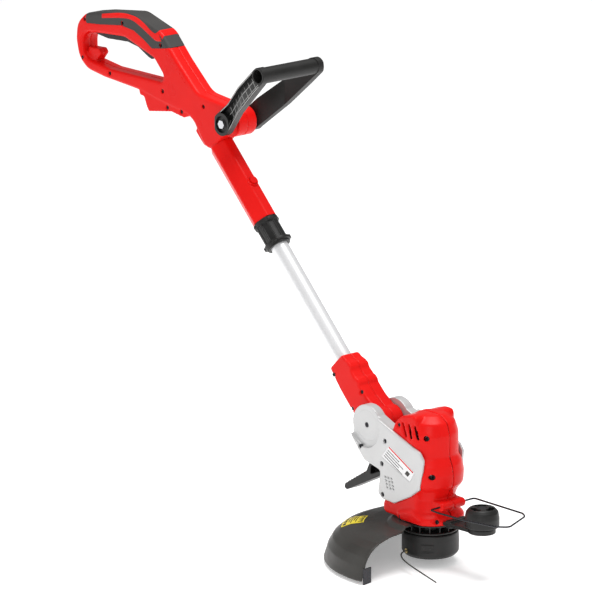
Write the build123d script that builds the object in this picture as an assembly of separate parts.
"""Corded string trimmer: handle unit, swivel handle, telescopic shaft and tilting motor head.

Millimetres. The part's frame has its origin at the centre of the rear grip, +X forward,
+Y to the user's left and +Z up. The spool turns about a vertical axis. Three frames are used:
the handle unit is drawn in the part's own frame, the shaft's pieces by their distance along
and across the shaft, and the head's pieces from the point where the spool's axis meets the
spool cap's lower face.
"""
from build123d import *
from math import cos, radians, sin, tan
import os

# ---- driving dimensions -------------------------------------------------------------
RUN_GAP = 0.05            # radial gap of a running fit
SLEEVE_GAP = 0.15         # radial gap of the neck on its spigot
GAP = 0.5                 # gap between pieces that move past each other
WALL = 3.0                # wall of the moulded shells
SCREW_R = 1.5             # screw shank
SCREW_HEAD = 2.4          # height of a screw's head
SCREW_SINK = 3.0          # how deep a screw's head lies

HOUSING_HALF = 19.0       # half thickness of the handle housing
HOUSING_EDGE = 6.0        # rounding of its long edges
HOUSING_ROUND = 40.0      # largest corner radius of its outline
GRIP_SKIN = 2.0           # thickness of the soft grip
TRIGGER_HALF = 7.5        # half width of the trigger
TRIGGER_PIN_HALF = HOUSING_HALF - 7.1   # half length of its pin
BOSS_R = 24.0             # housing boss that carries the swivel handle
BOSS_AT = (293.0, -114.5)
BOSS_HALF = HOUSING_HALF + 6.5

SHAFT_ANGLE = 45.5        # shaft below the horizontal
SLEEVE_END = (357.6, -271.2)   # lower end of the turn sleeve, on the shaft's axis
SLEEVE_LENGTH = 152.0
TUBE_R = 15.0
TUBE_WALL = 1.5
SPIGOT_R = TUBE_R + 3.0   # housing spigot that the neck turns on
SLEEVE_HALF = SPIGOT_R + 3.5
SPIGOT_LENGTH = 30.0
COLLAR_LENGTH = 50.0
TUBE_TOP = -55.0          # the tube's upper end, measured from the sleeve's end
SHAFT_REACH = 398.4       # sleeve end to the tilt axis, along the shaft
TILT_OFFSET = 12.0        # tilt axis off the shaft's axis
KNUCKLE_LENGTH = 126.0
KNUCKLE_HALF = TUBE_R + 7.0

TILT_X, TILT_Z = -108.6, 196.0   # tilt axis in the head's frame
DRUM_R = 33.0             # drum around the tilt axis
HEAD_HALF = KNUCKLE_HALF + 24.0   # half width of the motor housing
DRUM_FACE = HEAD_HALF - 7.0
TILT_PIN_HALF = HEAD_HALF - 10.0
PEDAL_PIN_HALF = HEAD_HALF - 12.0
COVER_PLATE = 5.0
MOTOR_R = 33.0
CAP_R = 46.0              # spool cap
CAP_HEIGHT = 40.0
FLANGE_R = CAP_R + 8.0    # flange of the motor housing over the cap
ROTOR_SHAFT_R = 4.0
GUARD_R = 171.0           # guard's lower rim
GUARD_START, GUARD_SWEEP = 122.0, 155.0
GUARD_WALL = 3.0
LINE_D = 2.4
WHEEL_X = 118.0
WHEEL_R = 27.7            # guide wheel
WHEEL_AXLE_R = 4.0
WHEEL_BASE, WHEEL_TOP = 70.5, 101.4
HOOP_X, HOOP_Z = 48.0, 91.0
HOOP_WIRE_R = 1.5
HOOP_LUG_R, HOOP_LUG_HALF = 7.5, 26.0
HOOP_HOLE = 19.0          # inner end of the holes that hold the hoop
PEDAL_HALF = 15.0
PEDAL_PIN = (-57.0, 117.0)

GRIP_BAR_R = 13.2         # swivel handle's grip
GRIP_BAR_HALF = 66.0
GRIP_BAR_AT = (414.0, -11.0)
ARM_HUB_R = 19.0
BOLT_R = 4.0

PIN_R, PIN_LENGTH, PIN_PITCH = 2.4, 19.0, 19.0   # mains plug pins
PIN_ROOT_R = 2.0          # pin inside its block
PLUG_AT = (112.0, -115.5)

AXIS_S = (cos(radians(SHAFT_ANGLE)), -sin(radians(SHAFT_ANGLE)))
AXIS_N = (-AXIS_S[1], AXIS_S[0])


# ---- frames -------------------------------------------------------------------------
def at_shaft(along, across=0.0):
    """A point of the middle plane, from its place along and across the shaft."""
    return (
        SLEEVE_END[0] + along * AXIS_S[0] + across * AXIS_N[0],
        SLEEVE_END[1] + along * AXIS_S[1] + across * AXIS_N[1],
    )


def shaft_frame(along):
    """Local Z runs down the shaft, local X away from it upwards, local Y to the user's right."""
    x, z = at_shaft(along)
    return Plane(
        origin=(x, 0, z), x_dir=(AXIS_N[0], 0, AXIS_N[1]), z_dir=(AXIS_S[0], 0, AXIS_S[1])
    )


TILT = at_shaft(SHAFT_REACH, TILT_OFFSET)
HEAD = Pos(TILT[0] - TILT_X, 0, TILT[1] - TILT_Z)


# ---- shapes -------------------------------------------------------------------------
def rounded(points, radius):
    """A closed outline with each corner rounded as far as its two sides allow."""
    corners = [Vector(*p) for p in points]
    radii = []
    for i, corner in enumerate(corners):
        before = corner - corners[i - 1]
        after = corners[(i + 1) % len(corners)] - corner
        half_turn = radians(before.get_angle(after)) / 2
        room = 0.45 * min(before.length, after.length) / tan(half_turn)
        radii.append(min(radius, room))
    return FilletPolyline(*corners, radius=radii, close=True)


def upright(y):
    """The plane Y = y, drawn on from the user's right, with X across and Z up."""
    return Plane(origin=(0, y, 0), x_dir=(1, 0, 0), z_dir=(0, -1, 0))


def slab(points, y0, y1, radius=1.0):
    """An outline in X and Z, given thickness from y0 to y1."""
    return upright(y1) * extrude(make_face(rounded(points, radius)), y1 - y0)


def shaft_slab(points, y0, y1, radius=1.0):
    """A slab whose outline is given along and across the shaft."""
    return slab([at_shaft(*p) for p in points], y0, y1, radius)


def disc(at, radius, y0, y1):
    """A cylinder along Y."""
    return Pos(at[0], (y0 + y1) / 2, at[1]) * Rot(90, 0, 0) * Cylinder(radius, y1 - y0)


def post(x, y, z0, z1, radius):
    """A cylinder along Z."""
    return Pos(x, y, (z0 + z1) / 2) * Cylinder(radius, z1 - z0)


def along_shaft(radius, start, end):
    return shaft_frame((start + end) / 2) * Cylinder(radius, end - start)


def block(x, y, z):
    """A box from its three spans."""
    spans = (x, y, z)
    middle = [(a + b) / 2 for a, b in spans]
    return Pos(*middle) * Box(*[b - a for a, b in spans])


def turned(points, radius=0.0, start=0.0, sweep=360.0):
    """A profile of (radius, height) points, turned about the Z axis."""
    wire = rounded(points, radius) if radius else Polyline(*points, close=True)
    face = upright(0) * make_face(wire)
    return Rot(0, 0, start) * revolve(face, Axis.Z, sweep)


def ease(solid, side, radius):
    """Round the rim of the solid's outermost face on one side of the middle plane."""
    face = solid.faces().filter_by(Axis.Y).sort_by(Axis.Y)[-1 if side > 0 else 0]
    return fillet(face.edges(), radius)


def side_of(solid, side):
    """The part of a solid on one side of the middle plane."""
    return solid & block((-2000, 2000), (0, 900) if side > 0 else (-900, 0), (-2000, 2000))


def screws(places, y_head, y_tip, head_r=3.4, shank_r=SCREW_R):
    """Cross-head screws along Y, heads at y_head."""
    way = 1 if y_tip > y_head else -1
    made = []
    for at in places:
        head = disc(at, head_r, *sorted((y_head, y_head + way * SCREW_HEAD)))
        shank = disc(at, shank_r, *sorted((y_head, y_tip)))
        slot = block(
            (at[0] - 2.2, at[0] + 2.2),
            sorted((y_head, y_head + way * 1.2)),
            (at[1] - 0.5, at[1] + 0.5),
        )
        cross = block(
            (at[0] - 0.5, at[0] + 0.5),
            sorted((y_head, y_head + way * 1.2)),
            (at[1] - 2.2, at[1] + 2.2),
        )
        made.append(head + shank - slot - cross)
    return made


def save(name, shape, place=Pos(0, 0, 0)):
    """Write one node; a list is a group of separate solids."""
    group = shape if isinstance(shape, list) else [shape]
    solids = [solid for one in group for solid in (place * one).solids()]
    export_step(Compound(children=solids) if len(solids) > 1 else solids[0],
                os.path.join("parts", name + ".step"))


# ---- handle housing -----------------------------------------------------------------
SPIGOT_TOP = -SLEEVE_LENGTH
HOUSING_OUTLINE = [
    (-102, -36), (-95, -66), (-74, -84), (-30, -91), (57, -98), (130, -112), (196, -122),
    at_shaft(SPIGOT_TOP, -SLEEVE_HALF), at_shaft(SPIGOT_TOP, SLEEVE_HALF + 8),
    (303, -128), (300, -90), (212, -80), (158, -32), (118, 9), (48, 30), (-34, 20),
    (-76, 12), (-99, -8),
]
PLUG_BOX = [(62, -94), (64, -105), (75, -107), (82, -123), (87, -130), (144, -121),
            (176, -126), (196, -118), (160, -95)]
LOWER_LUG = [(190, -124), (197, -126), (206, -139), (203, -144), (219, -160), (226, -166),
             (240, -150), (215, -115)]
LOOP_OUTLINE = [
    (-85, -22), (-30, -17), (24, -14), (100, -38), (137, -76), (-20, -75), (-84, -66),
]
GRIP_OUTLINE = [
    (-78, 60), (-73, -5), (-36, -2), (19, 5), (51, 1), (76, -10), (97, -22), (171, -10),
    (182, 60),
]
HOUSING_SCREWS = [(-78, 1), (-85, -66), (-13, -82), (123, -90), (134, -116), (170, -117),
                  (226, -99), (21, 9), (119, -13)]
TRIGGER_PIN = (-64.0, -13.0)
TRIGGER_ROOM = [(-72, -6), (-72, -24), (-40, -26), (104, -48), (100, -24), (72, -14),
                (44, -6), (16, -4), (-40, -9)]


def moulded(outline, half, edge, radius, opening=None):
    """A slab about the middle plane with the rims of both faces rounded."""
    solid = slab(outline, -half, half, radius)
    if opening:
        solid -= slab(opening, -half - 1, half + 1, radius / 2)
    return ease(ease(solid, 1, edge), -1, edge)


def housing_parts():
    """Right and left shell, and the soft grip over the top bar."""
    outer = moulded(HOUSING_OUTLINE, HOUSING_HALF, HOUSING_EDGE, HOUSING_ROUND, LOOP_OUTLINE)
    outer += slab(PLUG_BOX, -HOUSING_HALF + 1, HOUSING_HALF - 1, 2)
    outer += slab(LOWER_LUG, -HOUSING_HALF + 3, HOUSING_HALF - 3, 2)
    outer += disc(BOSS_AT, BOSS_R, -HOUSING_HALF, HOUSING_HALF)
    outer += disc(BOSS_AT, BOSS_R - 7, -BOSS_HALF, BOSS_HALF)
    cord_hook = slab([(-80, -70), (-80, -48), (-52, -47), (-46, -54), (-58, -68)],
                     -9, 9, 3)
    outer += cord_hook

    inner_face = offset(make_face(rounded(HOUSING_OUTLINE, HOUSING_ROUND)), -WALL)
    inner_face -= offset(make_face(rounded(LOOP_OUTLINE, HOUSING_ROUND / 2)), WALL)
    hollow_half = HOUSING_HALF - WALL
    hollow = upright(hollow_half) * extrude(inner_face, 2 * hollow_half)
    bolt_post = disc(BOSS_AT, BOLT_R + WALL, -BOSS_HALF, BOSS_HALF)
    posts = [disc(at, 4.2, -HOUSING_HALF + 1, HOUSING_HALF - 1) for at in HOUSING_SCREWS]
    trigger_post = disc(TRIGGER_PIN, 4.0, -HOUSING_HALF + 1, HOUSING_HALF - 1)
    hollow -= bolt_post
    for one in posts + [trigger_post]:
        hollow -= one

    body = outer - hollow
    body += along_shaft(SPIGOT_R, SPIGOT_TOP - WALL, SPIGOT_TOP + SPIGOT_LENGTH)
    body -= along_shaft(TUBE_R + GAP, SPIGOT_TOP - 8, SPIGOT_TOP + SPIGOT_LENGTH + 1)
    body -= disc(BOSS_AT, BOLT_R + RUN_GAP, -BOSS_HALF - 1, BOSS_HALF + 1)
    # room for the trigger in the top bar
    body -= slab(TRIGGER_ROOM, -TRIGGER_HALF - GAP, TRIGGER_HALF + GAP, 1)
    # mains plug recess, open to the rear
    body -= block((60, 126), (-14, 14), (-124.5, -108.5))
    for at in HOUSING_SCREWS:
        body -= disc(at, SCREW_R + RUN_GAP, -HOUSING_HALF - 1, HOUSING_HALF - 5)
        body -= disc(at, 3.7, -HOUSING_HALF - 1, -HOUSING_HALF + SCREW_SINK + SCREW_HEAD)
    pin_room = TRIGGER_PIN_HALF + 0.1
    body -= disc(TRIGGER_PIN, 2.0 + RUN_GAP, -pin_room, pin_room)

    grip_zone = slab(GRIP_OUTLINE, -40, 40, 3)
    core_face = offset(make_face(rounded(HOUSING_OUTLINE, HOUSING_ROUND)), -GRIP_SKIN)
    core = upright(HOUSING_HALF - GRIP_SKIN) * extrude(core_face, 2 * (HOUSING_HALF - GRIP_SKIN))
    grip = (outer & grip_zone) - core
    for at in HOUSING_SCREWS:
        grip -= disc(at, 3.7, -HOUSING_HALF - 1, -HOUSING_HALF + SCREW_SINK)
    body -= grip_zone - core
    return side_of(body, -1), side_of(body, 1), grip


def trigger():
    """A long lever under the top bar, hinged at its rear end."""
    outline = [(-69, -9), (-69, -18), (-58, -23), (-30, -26.5), (22, -24), (48, -28.5),
               (76, -42), (84, -44), (90, -38), (82, -32), (70, -24), (46, -15.5),
               (18, -11.5), (-36, -15)]
    solid = slab(outline, -TRIGGER_HALF, TRIGGER_HALF, 2.5)
    solid -= disc(TRIGGER_PIN, 2.0 + RUN_GAP, -10, 10)
    return solid


def plug_insert():
    """Insulating block at the end of the plug recess, holding the two pins."""
    x, z = PLUG_AT
    solid = block((x, x + 14), (-13.8, 13.8), (z - 8.8, z + 6.8))
    for y in (-PIN_PITCH / 2, PIN_PITCH / 2):
        solid -= Pos(x + 5, y, z) * Rot(0, 90, 0) * Cylinder(PIN_ROOT_R, 10)
    return solid


def plug_pins():
    x, z = PLUG_AT
    made = []
    for y in (-PIN_PITCH / 2, PIN_PITCH / 2):
        solid = Pos(x - PIN_LENGTH / 2, y, z) * Rot(0, 90, 0) * Cylinder(PIN_R, PIN_LENGTH)
        solid = fillet(solid.faces().sort_by(Axis.X)[0].edges(), 1.0)
        made.append(solid + Pos(x + 5, y, z) * Rot(0, 90, 0) * Cylinder(PIN_ROOT_R, 10))
    return made


def inner_tube(points, radius, bend):
    """A round cable along straight runs with bends."""
    path = FilletPolyline(*points, radius=bend)
    start = Vector(*points[0])
    way = Vector(*points[1]) - start
    return sweep(Plane(origin=start, z_dir=way) * Circle(radius), path=path)


def build_handle():
    right, left, grip = housing_parts()
    save("housing_right", right)
    save("housing_left", left)
    save("soft_grip", grip)
    save("housing_screws", screws(HOUSING_SCREWS, -HOUSING_HALF + SCREW_SINK, HOUSING_HALF - 7))
    save("trigger", trigger())
    save("trigger_pin", disc(TRIGGER_PIN, 2.0, -TRIGGER_PIN_HALF, TRIGGER_PIN_HALF))
    save("plug_insert", plug_insert())
    save("plug_pins", plug_pins())
    switch = slab([(107, -31), (121, -18), (145, -43), (131, -56)], -8, 8, 1.5)
    save("switch_body", switch)
    save("capacitor", block((140, 166), (-10, 10), (-108, -94)))
    save("handle_cable", inner_tube(
        [(133, 0, -60), (165, 0, -66), (205, 0, -95), (238, 0, -145)], 3.2, 14))


# ---- swivel handle ------------------------------------------------------------------
def tapered(at_a, r_a, at_b, r_b, y0, y1):
    """A plate whose outline wraps two circles of different size."""
    a, b = Vector(*at_a), Vector(*at_b)
    run = (b - a).normalized()
    lean = (r_a - r_b) / (b - a).length
    rise = (1 - lean * lean) ** 0.5
    corners = []
    for centre, r, side in ((a, r_a, 1), (b, r_b, 1), (b, r_b, -1), (a, r_a, -1)):
        cross = Vector(-run.Y, run.X) * side
        corners.append(centre + (run * lean + cross * rise) * r)
    web = upright(y1) * extrude(make_face(Polyline(*corners, close=True)), y1 - y0)
    return web + disc(at_a, r_a, y0, y1) + disc(at_b, r_b, y0, y1)


def arm(side):
    """One arm: a leaning dished plate with a lattice of ribs in its outer face."""
    hub_in, hub_out = BOSS_HALF + GAP, BOSS_HALF + 12.5
    tip = GRIP_BAR_HALF
    x0, x1 = BOSS_AT[0] - ARM_HUB_R - 1, GRIP_BAR_AT[0] + GRIP_BAR_R + 3
    knee = BOSS_AT[0] + ARM_HUB_R - 3
    heel = GRIP_BAR_AT[0] - 12
    thick = hub_out - hub_in
    half_way, bow = (knee + heel) / 2, 6
    plan = [(x0, hub_in), (knee, hub_in), (half_way, (hub_in + tip - thick - 3) / 2 + bow),
            (heel, tip - thick - 3), (x1, tip - thick + 1), (x1, tip), (heel, tip - 2),
            (half_way, (hub_out + tip - 2) / 2 + bow), (knee, hub_out), (x0, hub_out)]
    lean = extrude(make_face(rounded([(x, side * y) for x, y in plan], 14)), 240)
    plate = tapered(BOSS_AT, ARM_HUB_R, GRIP_BAR_AT, GRIP_BAR_R + 1, *sorted((0, side * 80)))
    solid = plate & Pos(0, 0, -160) * lean
    floor = Pos(0, -side * 9, -160) * lean
    pocket_plate = tapered(BOSS_AT, ARM_HUB_R - 2, GRIP_BAR_AT, GRIP_BAR_R - 1,
                           *sorted((0, side * 90)))
    pocket = pocket_plate - floor
    pocket -= disc(BOSS_AT, ARM_HUB_R, *sorted((0, side * 90)))
    pocket -= disc(GRIP_BAR_AT, GRIP_BAR_R + 1, *sorted((0, side * 90)))
    run = Vector(GRIP_BAR_AT[0] - BOSS_AT[0], GRIP_BAR_AT[1] - BOSS_AT[1])
    ribs = []
    for across in (-5.5, 5.5):
        ribs.append((run.length / 2, across, run.length, 1.2))
    steps = 11
    for i in range(1, steps):
        ribs.append((run.length * i / steps, 0, 1.2, 60))
    tilt = Vector(1, 0).get_signed_angle(run)
    for along, across, length, width in ribs:
        rib = Pos(along, 0, across) * Box(length, 200, width)
        pocket -= Pos(BOSS_AT[0], 0, BOSS_AT[1]) * Rot(0, -tilt, 0) * rib
    solid -= pocket
    return solid


def swivel_handle():
    solid = arm(-1) + arm(1)
    bar = disc(GRIP_BAR_AT, GRIP_BAR_R, -GRIP_BAR_HALF, GRIP_BAR_HALF)
    solid += bar
    solid -= disc(GRIP_BAR_AT, GRIP_BAR_R - 2.2, -GRIP_BAR_HALF - 1, GRIP_BAR_HALF - 20)
    solid -= disc(BOSS_AT, BOLT_R + RUN_GAP, -60, 60)
    solid -= disc(BOSS_AT, ARM_HUB_R - 5, -60, -BOSS_HALF - 8.5)
    return solid


def clamp_bolt():
    """Hexagon bolt through both arms and the housing boss."""
    head_y = -BOSS_HALF - 8.5
    shank = disc(BOSS_AT, BOLT_R, head_y, BOSS_HALF + 22)
    head = upright(head_y) * extrude(RegularPolygon(6.5, 6, major_radius=False), 5)
    return shank + Pos(BOSS_AT[0], 0, BOSS_AT[1]) * head


def clamp_knob():
    """Lobed knob on the bolt's far end."""
    base = BOSS_HALF + 12.5 + GAP
    solid = disc(BOSS_AT, 11.0, base, base + 12)
    for i in range(6):
        turn = radians(60 * i)
        at = (BOSS_AT[0] + 12 * cos(turn), BOSS_AT[1] + 12 * sin(turn))
        solid -= disc(at, 2.6, base + 2, base + 13)
    solid -= disc(BOSS_AT, BOLT_R + RUN_GAP, base - 1, base + 13)
    return solid


def build_swivel_handle():
    save("swivel_handle", swivel_handle())
    save("clamp_bolt", clamp_bolt())
    save("clamp_knob", clamp_knob())


# ---- shaft --------------------------------------------------------------------------
BUTTON_AT = -66.0
BUTTON_R = 6.5


def turn_sleeve():
    """Neck that turns on the housing's spigot; a crease runs along each side."""
    flat = 9.0
    crease = SLEEVE_HALF + 2
    section = rounded([(SLEEVE_HALF, -flat), (SLEEVE_HALF, flat), (0, crease),
                       (-SLEEVE_HALF, flat), (-SLEEVE_HALF, -flat), (0, -crease)], 6)
    solid = shaft_frame(SPIGOT_TOP + GAP) * extrude(make_face(section), SLEEVE_LENGTH - GAP)
    boss = shaft_frame(BUTTON_AT) * Pos(SLEEVE_HALF / 2 + 6, 0, 0) * Rot(0, 90, 0) * Cylinder(
        BUTTON_R + 3, SLEEVE_HALF - 8)
    solid += boss
    solid -= along_shaft(TUBE_R + RUN_GAP, SPIGOT_TOP - 1, 1)
    solid -= along_shaft(SPIGOT_R + SLEEVE_GAP, SPIGOT_TOP - 1, SPIGOT_TOP + SPIGOT_LENGTH + GAP)
    well = shaft_frame(BUTTON_AT) * Pos(TUBE_R + 2 + 10, 0, 0) * Rot(0, 90, 0) * Cylinder(
        BUTTON_R + GAP, 20)
    return solid - well


def lock_button():
    low, high = TUBE_R + 4.5, SLEEVE_HALF + 5
    solid = shaft_frame(BUTTON_AT) * Pos((low + high) / 2, 0, 0) * Rot(0, 90, 0) * Cylinder(
        BUTTON_R, high - low)
    return solid


def clamp_collar():
    """Twist collar that grips the tube."""
    barrel_r = TUBE_R + 3
    solid = along_shaft(TUBE_R + 6.5, GAP, 8)
    solid += along_shaft(barrel_r, 8, COLLAR_LENGTH - 9)
    solid += along_shaft(TUBE_R + 8, COLLAR_LENGTH - 9, COLLAR_LENGTH - 4)
    solid += along_shaft(TUBE_R + 5, COLLAR_LENGTH - 4, COLLAR_LENGTH)
    middle = COLLAR_LENGTH / 2
    for i in range(10):
        rib = Pos(barrel_r + 0.2, 0, 0) * Box(2.6, 2.6, COLLAR_LENGTH - 18)
        solid += shaft_frame(middle) * Rot(0, 0, 36 * i) * rib
    for i in range(4):
        lug = Pos(TUBE_R + 7.5, 0, 0) * Box(4, 9, 5)
        solid += shaft_frame(COLLAR_LENGTH - 6.5) * Rot(0, 0, 90 * i + 45) * lug
        ear = Pos(TUBE_R + 6.5, 0, 0) * Box(3, 6, 4)
        solid += shaft_frame(4.2) * Rot(0, 0, 90 * i + 20) * ear
    return solid - along_shaft(TUBE_R + 0.3, -1, COLLAR_LENGTH + 1)


TUBE_FOOT = SHAFT_REACH - 36.0
KNUCKLE_TOP = SHAFT_REACH - KNUCKLE_LENGTH


def knuckle():
    """Moulded joint on the tube's foot, with a tongue around the tilt pin."""
    top, low = KNUCKLE_TOP, SHAFT_REACH
    r = TUBE_R
    outline = [(top, -r - 5), (top, r + 5), (top + 12, r + 7), (top + 20, r + 11),
               (top + 27, r + 11), (top + 33, r + 8), (top + 46, r + 8.5), (top + 50, r + 11),
               (top + 58, r + 11), (top + 62, r + 8.5), (top + 84, r + 9),
               (low - 26, r + 12), (low - 6, r + 16), (low - 2, r + 10), (low + 3, r - 7),
               (low - 12, 3 - r), (low - 30, -r - 6), (top + 60, -r - 6)]
    solid = shaft_slab(outline, -KNUCKLE_HALF, KNUCKLE_HALF, 4)
    solid = ease(ease(solid, 1, 3), -1, 3)
    half = KNUCKLE_HALF
    plan = [(top - 2, r + 2.5), (top + 45, half), (low + 40, half), (low + 40, -half),
            (top + 45, -half), (top - 2, -r - 2.5)]
    taper = make_face(Polyline(*[(y, along) for along, y in plan], close=True))
    across = Plane(origin=(SLEEVE_END[0], 0, SLEEVE_END[1]), x_dir=(0, 1, 0),
                   z_dir=(-AXIS_N[0], 0, -AXIS_N[1]))
    solid &= across * Pos(0, 0, -80) * extrude(taper, 160)
    solid += disc(TILT, 24, -KNUCKLE_HALF, KNUCKLE_HALF)
    solid -= along_shaft(TUBE_R, top - 1, TUBE_FOOT)
    solid -= disc(TILT, 8 + RUN_GAP, -40, 40)
    return solid


def build_shaft():
    save("turn_sleeve", turn_sleeve())
    save("lock_button", lock_button())
    save("clamp_collar", clamp_collar())
    tube = along_shaft(TUBE_R, TUBE_TOP, TUBE_FOOT)
    save("telescopic_tube", tube - along_shaft(TUBE_R - TUBE_WALL, TUBE_TOP - 1, TUBE_FOOT + 1))
    save("tube_cable", along_shaft(3.2, TUBE_TOP + 2, TUBE_FOOT - 1))
    whole = knuckle()
    beside = TUBE_R + 3.6
    places = [at_shaft(*p) for p in ((KNUCKLE_TOP + 14, -beside), (KNUCKLE_TOP + 80, 0.3 - beside),
                                     (KNUCKLE_TOP + 72, beside + 0.9))]
    for at in places:
        whole -= disc(at, SCREW_R + RUN_GAP, -KNUCKLE_HALF - 1, KNUCKLE_HALF - 8)
        whole -= disc(at, 3.6, -KNUCKLE_HALF - 1, -KNUCKLE_HALF + 3 + SCREW_HEAD)
    save("knuckle_right", side_of(whole, -1))
    save("knuckle_left", side_of(whole, 1))
    save("knuckle_screws", screws(places, -KNUCKLE_HALF + 3, KNUCKLE_HALF - 9, 3.2))


# ---- motor head ---------------------------------------------------------------------
COVER_OUTLINE = [
    (-140, 176), (-124, 157), (-120, 152), (-107, 139), (-69, 130), (-75, 92), (-65, 84),
    (-37, 82), (0, 101), (21, 117), (27, 145), (30, 167), (21, 179), (2, 185), (-45, 202),
    (-80, 215), (-108, 224), (-137, 212),
]
COVER_SCREWS = [(-118, 159.5), (-59, 181), (-66, 142), (-64, 91)]
HOUSE_SCREWS = {(-32, 213): 39.0, (25, 201): 32.0, (38.5, 140): 31.5, (44, 66): 29.0}
FORK_X = -46.0            # the fork's root, where the housing's back begins
FORK_INNER = KNUCKLE_HALF + 1.0
PLATE_IN = HEAD_HALF - COVER_PLATE
MOTOR_PROFILE = [
    (0, 58), (FLANGE_R, 58), (FLANGE_R, 68), (43, 78), (38.5, 98), (44, 112), (52, 122), (53, 140),
    (50, 156), (44, 168), (43.5, 204), (38, 222), (22, 233), (0, 234.5),
]


def head_cover(side):
    """Grey side cover with its half of the tilt fork."""
    outer = slab(COVER_OUTLINE, *sorted((side * PLATE_IN, side * HEAD_HALF)), 6)
    outer = ease(outer, side, 1.5)
    fork_outline = [(-140, 176), (-124, 157), (-120, 152), (-107, 139), (-69, 130),
                    (-74, 92), (FORK_X - 2, 92), (FORK_X - 2, 202), (-80, 215),
                    (-108, 224), (-137, 212)]
    outer += slab(fork_outline, *sorted((side * FORK_INNER, side * PLATE_IN)), 4)
    outer -= slab([(-114, 148), (-66, 137), (-66, 100), (FORK_X - 6, 98), (FORK_X - 6, 160),
                   (-72, 160)],
                  *sorted((side * (FORK_INNER - 1), side * (PLATE_IN - 2))), 3)
    outer += disc((TILT_X, TILT_Z), DRUM_R, *sorted((side * FORK_INNER, side * DRUM_FACE)))
    # the cover steps back around the drum
    well = disc((TILT_X, TILT_Z), DRUM_R + 3, *sorted((side * DRUM_FACE, side * 60)))
    outer -= well
    outer -= disc((TILT_X, TILT_Z), 8, *sorted((side * 10, side * TILT_PIN_HALF)))
    outer -= disc((TILT_X, TILT_Z), 4.2, *sorted((side * 10, side * 60)))
    outer -= disc(PEDAL_PIN, 2.5, *sorted((side * 10, side * PEDAL_PIN_HALF)))
    if side < 0:
        groove = 1.2 - DRUM_FACE
        for wide, narrow in ((26, 24.5), (14, 13)):
            ring = disc((TILT_X, TILT_Z), wide, -60, groove)
            outer -= ring - disc((TILT_X, TILT_Z), narrow, -61, groove + 1)
        label = slab([(-49, 176), (-67, 154), (0, 126), (11, 144)], -60, -HEAD_HALF + 1, 2)
        outer -= label
        for row in range(4):
            for column in range(3):
                x, z = -57 + 7 * column + 1.5 * row, 122 - 5.5 * row
                outer -= Pos(x, -HEAD_HALF, z) * Rot(0, 35, 0) * Box(5, 6, 2.4)
    for at in COVER_SCREWS:
        outer -= disc(at, SCREW_R + RUN_GAP, *sorted((side * 10, side * 60)))
        outer -= disc(at, 3.9, *sorted((side * (HEAD_HALF - SCREW_SINK - SCREW_HEAD), side * 60)))
    return outer


def motor_housing():
    """Red housing: a turned barrel with a squared back and flat sides."""
    barrel = turned(MOTOR_PROFILE, 6)
    back = slab([(10, 60), (-67, 61), (-66, 82), (FORK_X, 88), (FORK_X, 203), (-40, 216),
                 (-26, 229), (-8, 234), (10, 234)], -HEAD_HALF + 4, HEAD_HALF - 4, 10)
    width = (-HEAD_HALF, HEAD_HALF)
    solid = barrel & block((-200, 200), width, (0, 300))
    solid += back & block((-200, 10), width, (0, 300))
    solid += disc((HOOP_X, HOOP_Z), HOOP_LUG_R, -HOOP_LUG_HALF, HOOP_LUG_HALF)
    solid += block((30, HOOP_X), (-HOOP_LUG_HALF, HOOP_LUG_HALF),
                   (HOOP_Z - HOOP_LUG_R, HOOP_Z + HOOP_LUG_R))
    inner = [(max(r - WALL, 0), z) for r, z in MOTOR_PROFILE[2:-2]]
    cavity = turned([(0, 70)] + [(50, 70)] + inner[1:] + [(0, 229)], 3)
    cavity &= block((-200, 200), (-HEAD_HALF + WALL, HEAD_HALF - WALL), (0, 300))
    solid -= cavity
    solid -= block((FORK_X + WALL, -30), (-30, 30), (92, 200))
    for side in (-1, 1):
        recess = slab(COVER_OUTLINE, *sorted((side * PLATE_IN, side * 80)), 6)
        solid -= recess
    solid -= block((-200, FORK_X), (-80, 80), (85, 300))
    solid -= post(0, 0, 50, 80, 9)
    for low in (104, 184):
        solid += post(0, 0, low, low + 4, 37) - post(0, 0, low - 1, low + 5, MOTOR_R)
    for x in (-19, -5, 9):
        slot = slab([(x - 7, 219), (x - 3, 220), (x + 6, 198), (x + 3, 196)], -80, -30, 1.2)
        solid -= slot
        solid -= mirror(slot, Plane.XZ)
    for at, sink in HOUSE_SCREWS.items():
        solid -= disc(at, SCREW_R + RUN_GAP, -80, 20)
        solid -= disc(at, 3.9, -80, -sink + SCREW_HEAD)
    for hole in guard_screws(SCREW_R + RUN_GAP, SCREW_R + RUN_GAP, 50, 67):
        solid -= hole
    for side in (-1, 1):
        hole = sorted((side * HOOP_HOLE, side * 60))
        solid -= disc((HOOP_X, HOOP_Z), HOOP_WIRE_R + RUN_GAP, *hole)
    return solid


CAN_BASE, CAN_TOP = 98.0, 196.0
BEARING_R = 11.0
BEARING_HEIGHT = 8.0


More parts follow.
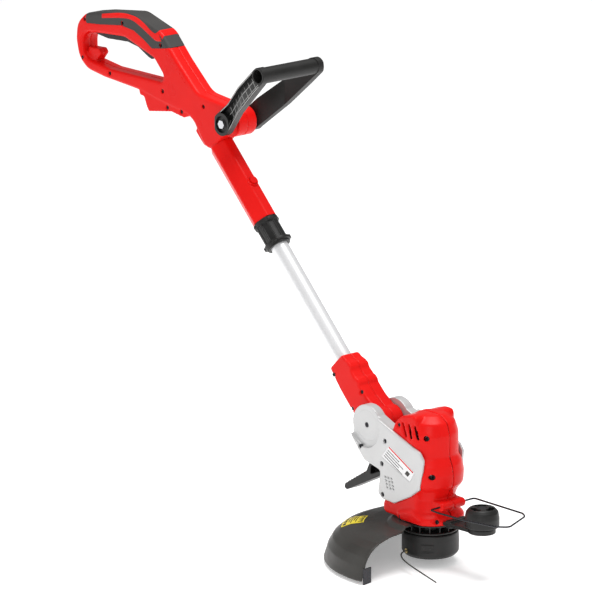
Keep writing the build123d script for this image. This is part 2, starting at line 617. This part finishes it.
def motor_parts():
    """Magnet can with its end plates, bearings, brush holders and armature."""
    can = post(0, 0, CAN_BASE, CAN_TOP, MOTOR_R)
    can -= post(0, 0, CAN_BASE + 3, CAN_TOP - 3, MOTOR_R - 5)
    can -= post(0, 0, CAN_BASE - 1, CAN_TOP + 1, BEARING_R)
    save("motor_can", can, HEAD)
    brushes = [block((-4, 4), sorted((side * 13, side * 27)), (174, 184)) for side in (-1, 1)]
    save("brush_holders", brushes, HEAD)
    ring = post(0, 0, 0, BEARING_HEIGHT, BEARING_R) - post(0, 0, -1, 9, ROTOR_SHAFT_R + RUN_GAP)
    save("lower_bearing", Pos(0, 0, CAN_BASE - 3) * ring, HEAD)
    save("upper_bearing", Pos(0, 0, CAN_TOP - 5) * ring, HEAD)
    rotor = post(0, 0, 46, CAN_TOP + 4, ROTOR_SHAFT_R) + post(0, 0, 110, 160, MOTOR_R - 6)
    rotor += post(0, 0, 172, 186, 12)
    for i in range(12):
        slot = Pos(MOTOR_R - 7, 0, 135) * Box(6, 3, 60)
        rotor -= Rot(0, 0, 30 * i) * slot
    save("motor_rotor", rotor, HEAD)


EYELET_TURN = -100.0


def spool_parts():
    """Everything that turns with the motor below the housing."""
    carrier = post(0, 0, 41, 44, CAP_R - 1) + post(0, 0, 41, 56, 12)
    carrier += post(0, 0, 53, 56, CAP_R - 3) + post(0, 0, 44, 54, 26)
    for i in range(16):
        vane = Pos(34, 0, 48.5) * Box(17, 2, 11)
        carrier += Rot(0, 0, 22.5 * i) * vane
    carrier -= post(0, 0, 46, 60, ROTOR_SHAFT_R)
    save("spool_carrier", carrier, HEAD)
    cap = turned([(0, 0), (CAP_R - 5, 0), (CAP_R, 6), (CAP_R, CAP_HEIGHT - 12),
                  (CAP_R - 1, CAP_HEIGHT), (0, CAP_HEIGHT)], 3)
    cap -= turned([(0, 3), (CAP_R - 7, 3), (CAP_R - 3, 8), (CAP_R - 3, CAP_HEIGHT + 1),
                   (0, CAP_HEIGHT + 1)])
    for turn in (-50, 130):
        cap -= Rot(0, 0, turn) * block((CAP_R - 1.2, CAP_R + 5), (-13, 13), (12, 28))
    for turn in (EYELET_TURN, EYELET_TURN + 180):
        cap -= Rot(0, 0, turn) * Pos(CAP_R, 0, 10) * Rot(0, 90, 0) * Cylinder(4, 20)
    cap -= post(0, 0, -1, 5, 17)
    save("spool_cap", cap, HEAD)
    eyelets = []
    for turn in (EYELET_TURN, EYELET_TURN + 180):
        bush = Cylinder(4, 6) - Cylinder(1.4, 8)
        eyelets.append(Rot(0, 0, turn) * Pos(CAP_R - 2.5, 0, 10) * Rot(0, 90, 0) * bush)
    save("line_eyelets", eyelets, HEAD)
    spool = post(0, 0, 6, 8, 36) + post(0, 0, 34, 36, 36) + post(0, 0, 8, 34, 18)
    spool -= post(0, 0, 5, 40, 12)
    save("spool", spool, HEAD)
    save("wound_line", post(0, 0, 8.2, 33.8, 33) - post(0, 0, 8, 34, 18.2), HEAD)
    knob = post(0, 0, -5, 0.5, 16.5) + post(0, 0, 0.5, 26, 11.5) - post(0, 0, 8, 30, 8)
    save("bump_knob", fillet(knob.faces().sort_by(Axis.Z)[0].edges(), 3), HEAD)
    coil = Helix(4.6, 31, 5.6, center=(0, 0, 9.2))
    wire = sweep(Plane(origin=coil @ 0, z_dir=coil % 0) * Circle(0.6), path=coil)
    save("bump_spring", wire, HEAD)


LINE_ROUTE = [(-8.08, -45.8, 10), (-9.5, -54, 9), (-3, -62, 5.5), (12, -68, 2.5), (33, -74, 0.8),
              (60, -82, 0.2), (90, -91.5, 0.1), (120, -101.5, 0.5)]


def cutting_line():
    """The free end of the line: straight runs joined by arcs as large as the runs allow."""
    points = [Vector(*p) for p in LINE_ROUTE]
    radii = []
    for i in range(1, len(points) - 1):
        before, after = points[i] - points[i - 1], points[i + 1] - points[i]
        half_turn = radians(before.get_angle(after)) / 2
        radii.append(0.45 * min(before.length, after.length) / tan(half_turn))
    print("cutting line arc radii:", [round(r, 1) for r in radii])
    path = FilletPolyline(*points, radius=radii)
    start = Plane(origin=points[0], z_dir=points[1] - points[0])
    return sweep(start * Circle(LINE_D / 2), path=path)


# the guard's outer face, as distances in from its rim and heights
GUARD_DOME = [(71, 49), (43, 44.5), (27, 38), (15, 28), (7, 14), (4, 3)]


def guard():
    """Dished sector under the housing, from beside the user round to the right."""
    t = GUARD_WALL
    r = GUARD_R
    hole = CAP_R + 1
    step = CAP_R + 24
    outer = [(hole, 58), (step - 8, 58), (step, 51)]
    outer += [(r - back, z) for back, z in GUARD_DOME] + [(r, -9)]
    inner = [(r - t, -9)] + [(r - back - t * 0.9, z - t * 0.55) for back, z in GUARD_DOME[::-1]]
    inner += [(step, 47.6), (step - 10, 54), (hole, 54)]
    solid = turned(outer + inner, 0, GUARD_START, GUARD_SWEEP)
    for drilled in guard_screws(SCREW_R + RUN_GAP, SCREW_R + RUN_GAP, 50, 62):
        solid -= drilled
    return solid


GUARD_SCREW_TURNS = (150, 195, 240)
GUARD_SCREW_RADIUS = CAP_R + 4.5


def guard_screws(shank_r, head_r, z_head, z_tip):
    made = []
    for turn in GUARD_SCREW_TURNS:
        x, y = GUARD_SCREW_RADIUS * cos(radians(turn)), GUARD_SCREW_RADIUS * sin(radians(turn))
        made.append(post(x, y, z_head, z_head + 2, head_r) + post(x, y, z_head, z_tip, shank_r))
    return made


def warning_label():
    """Thin label lying on the guard's sloping top."""
    inner, bend, outer = (GUARD_R - 64, 49 - 4.5 * 7 / 28), GUARD_DOME[1], GUARD_DOME[2]
    low = [inner, (GUARD_R - bend[0], bend[1]), (GUARD_R - outer[0] - 1, outer[1] + 0.40625)]
    high = [(r + 0.1, z + 0.5) for r, z in low[::-1]]
    return turned(low + high, 0, 206, 18.5)


def line_cutter():
    """Small steel blade on the guard's right end."""
    turn = GUARD_START + GUARD_SWEEP
    blade = block((GUARD_R - 22, GUARD_R - 4), (0.2, 2.2), (-14, 12))
    return Rot(0, 0, turn) * blade


def wheel_bracket():
    """Flat arm from the housing's base to the guide wheel, with a round seat."""
    arm_plan = [(40, -22), (WHEEL_X, -17), (WHEEL_X, 17), (40, 22)]
    solid = extrude(make_face(rounded(arm_plan, 3)), 6)
    solid = Pos(0, 0, 61) * solid
    solid += post(WHEEL_X, 0, 61, 69, WHEEL_R - 5.7)
    root = FLANGE_R + 0.3
    foot = rounded([(root + 0.5, -20), (root + 11.7, -20), (root + 11.7, 20), (root + 0.5, 20)], 2)
    solid += Pos(0, 0, 58) * extrude(make_face(foot), 12)
    solid -= post(0, 0, 50, 80, root)
    return solid - post(WHEEL_X, 0, 55, 80, WHEEL_AXLE_R)


def guide_wheel():
    solid = turned([(0, WHEEL_BASE), (WHEEL_R, WHEEL_BASE), (WHEEL_R, 86), (WHEEL_R - 2, 96),
                    (WHEEL_R - 7, WHEEL_TOP), (0, WHEEL_TOP)], 3)
    for i in range(3):
        ring_r = WHEEL_R - 13.2
        bean = post(ring_r, 0, 90, 110, 4.6) + Rot(0, 0, 50) * post(ring_r, 0, 90, 110, 4.6)
        turned_bean = Rot(0, 0, 25) * (block((ring_r - 4.6, ring_r + 4.6), (-6, 6), (90, 110)))
        solid -= Rot(0, 0, 120 * i) * (bean + turned_bean)
    solid -= post(0, 0, 60, 110, WHEEL_AXLE_R + RUN_GAP)
    solid -= post(0, 0, WHEEL_TOP - 3, 120, 7.5)
    return Pos(WHEEL_X, 0, 0) * solid


def wheel_axle():
    """Pin on the bracket with a retaining disc in the wheel's top."""
    neck = WHEEL_TOP - 3
    solid = post(WHEEL_X, 0, 58, neck, WHEEL_AXLE_R)
    solid += post(WHEEL_X, 0, neck - 0.2, neck + 0.5, WHEEL_AXLE_R)
    return solid + post(WHEEL_X, 0, neck + 0.3, WHEEL_TOP - 0.5, 7)


HOOP_ROUTE = [(HOOP_X, -HOOP_HOLE - 1), (HOOP_X, -46), (66, -47.5), (122, -44), (180, -31), (196, -16),
              (172, 42), (158, 50), (HOOP_X, 50),
              (HOOP_X, HOOP_HOLE + 1)]
HOOP_BENDS = [5, 5, 20, 20, 10, 20, 9, 5]


def plant_hoop():
    """Spring wire bow that keeps the line off plants, hung in two side holes."""
    points = [Vector(x, y, HOOP_Z) for x, y in HOOP_ROUTE]
    path = FilletPolyline(*points, radius=HOOP_BENDS)
    start = Plane(origin=points[0], z_dir=points[1] - points[0])
    return sweep(start * Circle(HOOP_WIRE_R), path=path)


def foot_pedal():
    outline = [(-62, 123), (-62, 111), (-80, 111), (-92, 113), (-124, 96), (-182, 66),
               (-188, 69), (-186, 76), (-136, 108), (-128, 124), (-95, 128), (-70, 124)]
    solid = slab(outline, -PEDAL_HALF, PEDAL_HALF, 2)
    solid -= slab([(-126, 105), (-96, 118), (-100, 124), (-124, 120)], -PEDAL_HALF - 1,
                  -PEDAL_HALF + 12, 2)
    solid -= slab([(-126, 105), (-96, 118), (-100, 124), (-124, 120)], PEDAL_HALF - 12,
                  PEDAL_HALF + 1, 2)
    solid += disc(PEDAL_PIN, 6, -PEDAL_HALF, PEDAL_HALF)
    solid -= disc(PEDAL_PIN, 2.5 + RUN_GAP, -40, 40)
    return solid


def build_head():
    save("head_cover_right", head_cover(-1), HEAD)
    save("head_cover_left", head_cover(1), HEAD)
    cover_screws = screws(COVER_SCREWS, -HEAD_HALF + SCREW_SINK, -FORK_INNER - 2)
    cover_screws += screws(COVER_SCREWS, HEAD_HALF - SCREW_SINK, FORK_INNER + 2)
    save("cover_screws", cover_screws, HEAD)
    whole = motor_housing()
    save("motor_housing_right", side_of(whole, -1), HEAD)
    save("motor_housing_left", side_of(whole, 1), HEAD)
    held = []
    for at, sink in HOUSE_SCREWS.items():
        held += screws([at], -sink, 19)
    save("motor_housing_screws", held, HEAD)
    motor_parts()
    spool_parts()
    save("cutting_line", cutting_line(), HEAD)
    tilt = (TILT_X, TILT_Z)
    save("tilt_pin", disc(tilt, 8, -TILT_PIN_HALF, TILT_PIN_HALF), HEAD)
    head_face = TILT_PIN_HALF + 2.8
    tilt_screws = screws([tilt], -head_face, -TILT_PIN_HALF, 4.1, 2)
    tilt_screws += screws([tilt], head_face, TILT_PIN_HALF, 4.1, 2)
    save("tilt_screws", tilt_screws, HEAD)
    save("guard", guard(), HEAD)
    save("guard_screws", guard_screws(SCREW_R, 3.0, 52, 66), HEAD)
    save("warning_label", warning_label(), HEAD)
    save("line_cutter", line_cutter(), HEAD)
    save("wheel_bracket", wheel_bracket(), HEAD)
    save("wheel_axle", wheel_axle(), HEAD)
    save("guide_wheel", guide_wheel(), HEAD)
    save("plant_hoop", plant_hoop(), HEAD)
    save("foot_pedal", foot_pedal(), HEAD)
    reach = PEDAL_PIN_HALF - 0.1
    save("pedal_pin", disc(PEDAL_PIN, 2.5, -reach, reach), HEAD)
    plate = slab([(-48.4, 175.2), (-66, 154.2), (-0.3, 126.8), (10.2, 143.8)], -HEAD_HALF + 0.2,
                 -HEAD_HALF + 1, 1.5)
    save("rating_plate", plate, HEAD)


os.makedirs("parts", exist_ok=True)
build_handle()
build_swivel_handle()
build_shaft()
build_head()
